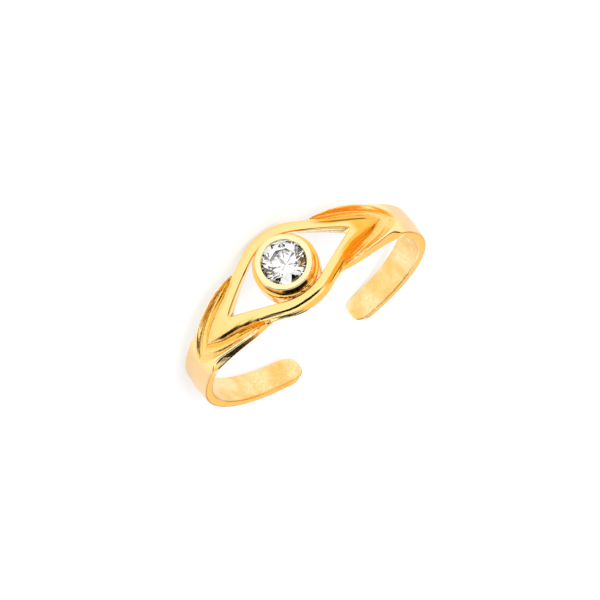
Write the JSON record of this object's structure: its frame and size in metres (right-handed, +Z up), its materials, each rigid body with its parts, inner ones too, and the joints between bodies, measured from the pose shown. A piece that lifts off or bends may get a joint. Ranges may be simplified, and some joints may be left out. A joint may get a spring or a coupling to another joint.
{
  "type": "toe ring",
  "caption": "Open gold toe ring whose band sweeps into an eye-shaped frame with a round stone in a bezel cup.",
  "frame": {"origin": "on the surface that the ring lies on, under the middle of its box", "axes": "+Z up, close to the toe opening's axis; the eye and its stone face -Y and the open ends face +Y"},
  "size_m": [0.0166, 0.0178, 0.0054],
  "materials": {
    "gold": "polished yellow gold, 14 karat, satin inside the band",
    "stone": "clear faceted cubic zirconia"
  },
  "bodies": {
    "root": {"ring_band": "gold", "stone": "stone"}
  },
  "joints": []
}
